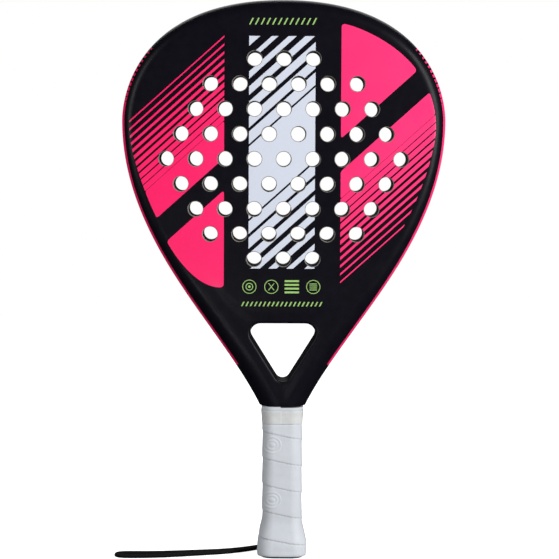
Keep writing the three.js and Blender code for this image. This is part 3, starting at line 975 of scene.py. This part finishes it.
def rubber_cap(materials):
    """The cap: a dished sole, a flared skirt, and the hollow that holds the handle's foot."""
    steps = 120
    shares = np.arange(steps) / steps
    skirt = np.full(steps, CAP_OUTSIDE)
    rings = []
    for size, height in ((0.50, 0.9), (0.56, 0.9), (0.60, 0.75), (0.62, 0.0)):
        ring = handle_ring(skirt, shares, 0.0) * (size, size, 1)
        ring[:, 2] = height
        rings.append(ring)
    for height in np.concatenate([np.linspace(0, BUTT_ROUND, 12), np.linspace(5, FLARE_TOP, 24)]):
        rings.append(handle_ring(skirt, shares, height))
    for height in np.linspace(FLARE_TOP, CAP_FLOOR, 6):
        rings.append(np.column_stack([section(CAP_INSIDE, shares), np.full(steps, height)]))
    return loft("rubber_cap", rings, materials, smooth_angle=45)


# ---- materials

BLACK = (0.0046, 0.0041, 0.0070)
# Painted shade: a darker copy of the black lacquer, for the walls inside the throat opening.
THROAT_SHADED_BLACK = (0.0030, 0.0027, 0.0044)
WRAP_COLOUR = (0.60, 0.63, 0.67)
TAPE_COLOUR = (0.64, 0.645, 0.645)
# Pink print with painted light: shaded darker on the racket's left, lit lighter on its right.
PINK_SHADED_LEFT = (0.97, 0.0125, 0.135)
PINK_LIT_RIGHT = (0.99, 0.036, 0.185)
PALE = (0.63, 0.67, 0.765)
GREEN = (0.33, 0.56, 0.17)


class Finish:
    """A Principled material, and the textures that give it its grain, wear and relief.

    A pattern is a texture's output, or the scale, detail and stretch of a noise.
    """

    def __init__(self, name, colour, roughness, **sockets):
        self.material = bpy.data.materials.new(name)
        self.material.use_nodes = True
        self.tree = self.material.node_tree
        self.shader = self.tree.nodes["Principled BSDF"]
        self.shader.inputs["Base Color"].default_value = (*colour, 1)
        self.shader.inputs["Roughness"].default_value = roughness
        for socket, value in sockets.items():
            self.shader.inputs[socket.replace("_", " ")].default_value = value
        self.link = self.tree.links.new
        self.place = self.node("TexCoord").outputs["Object"]
        self.normal = None

    def node(self, kind, **inputs):
        """A new node whose inputs are numbers, vectors or other nodes' outputs."""
        node = self.tree.nodes.new("ShaderNode" + kind)
        for name, value in inputs.items():
            socket = node.inputs[name.replace("_", " ")]
            if isinstance(value, bpy.types.NodeSocket):
                self.link(value, socket)
            else:
                socket.default_value = value
        return node

    def coordinates(self, stretch=(1, 1, 1), turn=(0, 0, 0)):
        return self.node("Mapping", Vector=self.place, Scale=stretch, Rotation=turn).outputs["Vector"]

    def noise(self, scale, detail, stretch=(1, 1, 1)):
        place = self.coordinates(stretch)
        return self.node("TexNoise", Vector=place, Scale=scale, Detail=detail).outputs["Fac"]

    def cells(self, scale):
        return self.node("TexVoronoi", Vector=self.coordinates(), Scale=scale).outputs["Distance"]

    def crossed(self, operation, scale, *turns):
        """Two sets of waves at their own slants, joined by a Math operation."""
        node = self.node("Math")
        node.operation = operation
        for socket, turn in zip(node.inputs, turns):
            waves = self.node("TexWave", Vector=self.coordinates(turn=turn), Scale=scale)
            self.link(waves.outputs["Fac"], socket)
        return node.outputs["Value"]

    def output_of(self, pattern):
        return self.noise(*pattern) if isinstance(pattern, tuple) else pattern

    def spread(self, pattern, low, high, start=0.3, end=0.7):
        node = self.node(
            "MapRange", Value=self.output_of(pattern), From_Min=start, From_Max=end, To_Min=low, To_Max=high
        )
        return node.outputs["Result"]

    def rough(self, pattern, low, high):
        self.link(self.spread(pattern, low, high), self.shader.inputs["Roughness"])

    def tint(self, pattern, first, second, start=0.3, end=0.7):
        """Adds a second colour where the pattern is high. The first one is a colour or an earlier tint."""
        node = self.node("Mix")
        node.data_type = "RGBA"
        self.link(self.spread(pattern, 0.0, 1.0, start, end), node.inputs[0])
        base, other = [socket for socket in node.inputs if socket.type == "RGBA"]
        if isinstance(first, tuple):
            base.default_value = (*first, 1)
        else:
            self.link(first, base)
        other.default_value = (*second, 1)
        result = [socket for socket in node.outputs if socket.type == "RGBA"][0]
        self.link(result, self.shader.inputs["Base Color"])
        return result

    def bump(self, pattern, distance, strength):
        """Adds relief of a distance in millimetres."""
        node = self.node("Bump", Height=self.output_of(pattern), Distance=distance * MM, Strength=strength)
        if self.normal:
            self.link(self.normal, node.inputs["Normal"])
        self.normal = node.outputs["Normal"]
        self.link(self.normal, self.shader.inputs["Normal"])


def shade(colour, factor):
    return tuple(channel * factor for channel in colour)


def lacquer(name, colour, roughness=0.33, level=0.10):
    """Satin lacquer over a laminate whose woven fabric shows faintly through."""
    finish = Finish(name, colour, roughness, Specular_IOR_Level=level)
    finish.tint((160, 6), shade(colour, 0.82), shade(colour, 1.2))
    finish.rough((45, 5), roughness - 0.04, roughness + 0.06)
    finish.bump(finish.crossed("MULTIPLY", 330, (0, math.pi / 4, 0), (0, -math.pi / 4, 0)), 0.012, 0.5)
    finish.bump((2600, 3), 0.010, 0.6)
    return finish.material


def printed(name, left, right, roughness=0.36, level=0.3):
    """Screen-printed ink, with painted light where the two colours differ: darker at the racket's left and
    lighter at its right, as if lit from the right. A fine mottle and a faint grain.
    """
    finish = Finish(name, left, roughness, Specular_IOR_Level=level)
    across = finish.node("SeparateXYZ", Vector=finish.place).outputs["X"]
    # Painted light: the colour goes from the shaded left to the lit right across the racket.
    tone = finish.tint(across, left, right, -0.09, 0.09)
    finish.tint((420, 5), tone, shade(right, 0.94), 0.5, 1.1)
    finish.rough((60, 5), roughness - 0.04, roughness + 0.08)
    finish.bump((2400, 3), 0.010, 0.6)
    return finish.material


def foam(name, colour, cell, relief):
    """Foam: open cells of several sizes, mottled darker and lighter at the size of a cell."""
    finish = Finish(name, colour, 0.9, Specular_IOR_Level=0.2)
    finish.tint((cell, 5), shade(colour, 0.55), shade(colour, 1.35))
    finish.rough((cell / 3, 4), 0.82, 0.98)
    finish.bump(finish.cells(cell), relief, 0.8)
    finish.bump((cell * 2.4, 4), relief / 2, 0.7)
    return finish.material


def rubber(name, colour, roughness):
    """Moulded rubber: uneven in colour and gloss, with a fine pebbled grain."""
    finish = Finish(name, colour, roughness, Specular_IOR_Level=0.35)
    finish.tint((70, 5), shade(colour, 0.8), shade(colour, 1.3))
    finish.rough((120, 5), roughness - 0.08, roughness + 0.12)
    finish.bump(finish.cells(1500), 0.03, 0.5)
    finish.bump((700, 4), 0.02, 0.5)
    return finish.material


def cut_laminate():
    """The bare edge of a laminate: layers of glass fibre in pale resin."""
    finish = Finish("cut_laminate", (0.16, 0.145, 0.125), 0.6, Specular_IOR_Level=0.3)
    layers = finish.noise(900, 4, (1, 5, 1))
    finish.tint(layers, (0.05, 0.045, 0.04), (0.34, 0.31, 0.27))
    finish.rough((500, 4), 0.5, 0.75)
    finish.bump(layers, 0.05, 0.7)
    return finish.material


def wrap_leather():
    """Overgrip: soft pale polyurethane with a fine skin grain and a little grime in fine specks."""
    finish = Finish("wrap_leather", WRAP_COLOUR, 0.55, Specular_IOR_Level=0.35, Sheen_Weight=0.15)
    tone = finish.tint((38, 5), shade(WRAP_COLOUR, 0.93), shade(WRAP_COLOUR, 1.04))
    finish.tint((900, 5), tone, shade(WRAP_COLOUR, 0.86), 0.56, 0.8)
    finish.rough((90, 5), 0.48, 0.66)
    finish.bump(finish.cells(1700), 0.035, 0.55)
    finish.bump((260, 5, (1, 1, 0.5)), 0.06, 0.5)
    return finish.material


def tape_vinyl():
    """Finishing tape: smooth vinyl, scuffed, with creases round the handle."""
    finish = Finish("tape_vinyl", TAPE_COLOUR, 0.42, Specular_IOR_Level=0.4)
    tone = finish.tint((60, 5, (1, 1, 3)), shade(TAPE_COLOUR, 0.92), shade(TAPE_COLOUR, 1.05))
    finish.tint((500, 4), tone, shade(TAPE_COLOUR, 0.88), 0.55, 0.85)
    finish.rough((150, 4), 0.34, 0.55)
    finish.bump((240, 5, (1, 1, 2.5)), 0.07, 0.6)
    return finish.material


def braid():
    """Braided polyester: fine yarns at a slant, each with painted light and shade, lighter on its crowns and
    darker between them.
    """
    colour = (0.0030, 0.0030, 0.0034)
    finish = Finish("cord_braid", colour, 0.8, Specular_IOR_Level=0.12)
    yarns = finish.crossed("MAXIMUM", 1100, (0.6, 0.5, 0.7), (-0.6, 0.5, -0.7))
    # Painted light and shade: the yarns' raised crowns are lighter and the grooves between them darker.
    finish.tint(yarns, shade(colour, 0.5), shade(colour, 1.8))
    finish.rough((600, 3), 0.7, 0.9)
    finish.bump(yarns, 0.05, 0.7)
    finish.bump((3000, 3), 0.03, 0.6)
    return finish.material


def grained(name, colour, roughness, grain, dark, light, wear, relief, **sockets):
    """A surface with one stretched noise in its colour, gloss and relief, such as timber or drawn wire."""
    finish = Finish(name, colour, roughness, **sockets)
    pattern = finish.noise(*grain)
    finish.tint(pattern, dark, light)
    finish.rough(pattern, *wear)
    finish.bump(pattern, *relief)
    return finish.material


def timber():
    return grained(
        "spine_timber", (0.42, 0.26, 0.12), 0.7, grain=(160, 6, (1, 1, 0.06)),
        dark=(0.30, 0.17, 0.07), light=(0.55, 0.36, 0.18), wear=(0.6, 0.8), relief=(0.08, 0.6),
    )


def steel():
    return grained(
        "staple_steel", (0.56, 0.56, 0.58), 0.32, grain=(900, 4, (0.1, 1, 1)),
        dark=(0.45, 0.45, 0.47), light=(0.66, 0.66, 0.68), wear=(0.26, 0.42), relief=(0.01, 0.5),
        Metallic=1.0,
    )


def film():
    finish = Finish("bladder_film", (0.62, 0.58, 0.46), 0.45, Specular_IOR_Level=0.5)
    finish.tint((50, 4), (0.55, 0.50, 0.38), (0.70, 0.66, 0.55))
    finish.rough((80, 4), 0.35, 0.55)
    finish.bump((220, 5, (1, 1, 0.3)), 0.15, 0.6)
    return finish.material


# ---- assembly

cord_material = braid()
filler = foam("filler_foam", (0.19, 0.17, 0.145), 700, 0.12)
core_foam = foam("core_foam", (0.24, 0.235, 0.22), 800, 0.16)
face_lacquer = lacquer("face_lacquer", BLACK)
face_inks = [
    face_lacquer,
    printed("pink_ink", PINK_SHADED_LEFT, PINK_LIT_RIGHT),
    printed("pale_ink", PALE, PALE, 0.42),
    printed("green_ink", GREEN, GREEN),
    cut_laminate(),
]
rim_paints = [
    lacquer("rim_lacquer", BLACK, 0.36, 0.08),
    printed("rim_pink", PINK_SHADED_LEFT, PINK_LIT_RIGHT, 0.30, 0.2),
]
# The throat walls get a darker copy of the black lacquer as painted shade.
throat_shaded_paint = lacquer("throat_lacquer_shaded", THROAT_SHADED_BLACK, 0.55, 0.06)

wrist_cord(cord_material)

plan = face_plan()
depth = face_depth(plan[0])
rolled = throat_drop(plan[0])
ink = painted(plan)
outside, under = depth - rolled - hole_drop(plan[0]), depth - rolled - LAMINATE
for side in ("front", "back"):
    skin = slab(side + "_skin", plan, -outside, -under, face_inks, ink, INK_EDGE, turned=side == "back")
    finish_piece(skin, side + "_face")
finish_piece(frame_rim(rim_paints), "frame_tube")
finish_piece(throat_liner([throat_shaded_paint]), "throat_tube")
finish_piece(drilled_core([core_foam]), "foam_core")
finish_piece(with_cord_holes(wound_grip([wrap_leather()])), "overgrip")
finish_piece(tape_band([tape_vinyl()]), "finishing_tape")
cap_material = rubber("cap_rubber", (0.045, 0.060, 0.070), 0.5)
finish_piece(with_cord_holes(rubber_cap([cap_material])), "butt_cap")

for node, surface in {
    "frame_bladder": film(),
    "throat_tube_filling": filler,
    "throat_foam_left": filler,
    "throat_foam_right": filler,
    "handle_core": timber(),
    "cap_staple_front": steel(),
    "cap_staple_back": steel(),
    "base_grip": rubber("cushion_rubber", (0.02, 0.02, 0.022), 0.75),
    "cord_knot": cord_material,
}.items():
    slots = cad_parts[node].data.materials
    slots.clear()
    slots.append(surface)


# ---- studio

def area_light(name, place, target, width, height, watts):
    light = bpy.data.lights.new(name, "AREA")
    light.shape = "RECTANGLE"
    light.size, light.size_y = width, height
    light.energy = watts
    aim(add_object(name, light), place, target)


def studio_floor():
    steps, radius, middle = 96, 1300.0, 950.0
    points = np.column_stack([circle((0, middle), radius, steps), np.zeros(steps)])
    finish = Finish(
        "floor_paper", (0.86, 0.86, 0.86), 0.9, Emission_Color=(1, 1, 1, 1), Emission_Strength=1.0
    )
    finish.tint((30, 4), (0.85, 0.85, 0.85), (0.88, 0.88, 0.88))
    floor = mesh_object("floor", points, [tuple(range(steps))], [finish.material])
    floor.visible_diffuse = floor.visible_glossy = False


def studio_world():
    """White where the camera sees past the floor, and a dim room for everything else."""
    world = bpy.data.worlds.new("studio")
    bpy.context.scene.world = world
    world.use_nodes = True
    nodes, links = world.node_tree.nodes, world.node_tree.links
    nodes.clear()
    paths = nodes.new("ShaderNodeLightPath")
    blend = nodes.new("ShaderNodeMixShader")
    output = nodes.new("ShaderNodeOutputWorld")
    links.new(paths.outputs["Is Camera Ray"], blend.inputs["Fac"])
    for socket, colour in ((1, (0.035, 0.035, 0.037, 1)), (2, (1, 1, 1, 1))):
        background = nodes.new("ShaderNodeBackground")
        background.inputs["Color"].default_value = colour
        links.new(background.outputs["Background"], blend.inputs[socket])
    links.new(blend.outputs["Shader"], output.inputs["Surface"])


studio_floor()
studio_world()
MIDDLE = (0, 0, 0.26)
area_light("light_right", (1.15, -0.96, 0.62), MIDDLE, 0.7, 1.2, 32)
area_light("light_left", (-1.30, -0.75, 0.62), MIDDLE, 0.5, 1.2, 11.2)
area_light("light_low_left", (-0.20, -0.75, 0.045), (-0.04, 0, 0.19), 0.16, 0.10, 0.5)
area_light("light_low_right", (0.20, -0.75, 0.045), (0.04, 0, 0.19), 0.12, 0.08, 0.06)
area_light("light_back", (0.0, 1.30, 1.30), (0, 0.0, 0.25), 1.6, 0.8, 9)

bpy.context.scene.view_settings.view_transform = "Standard"
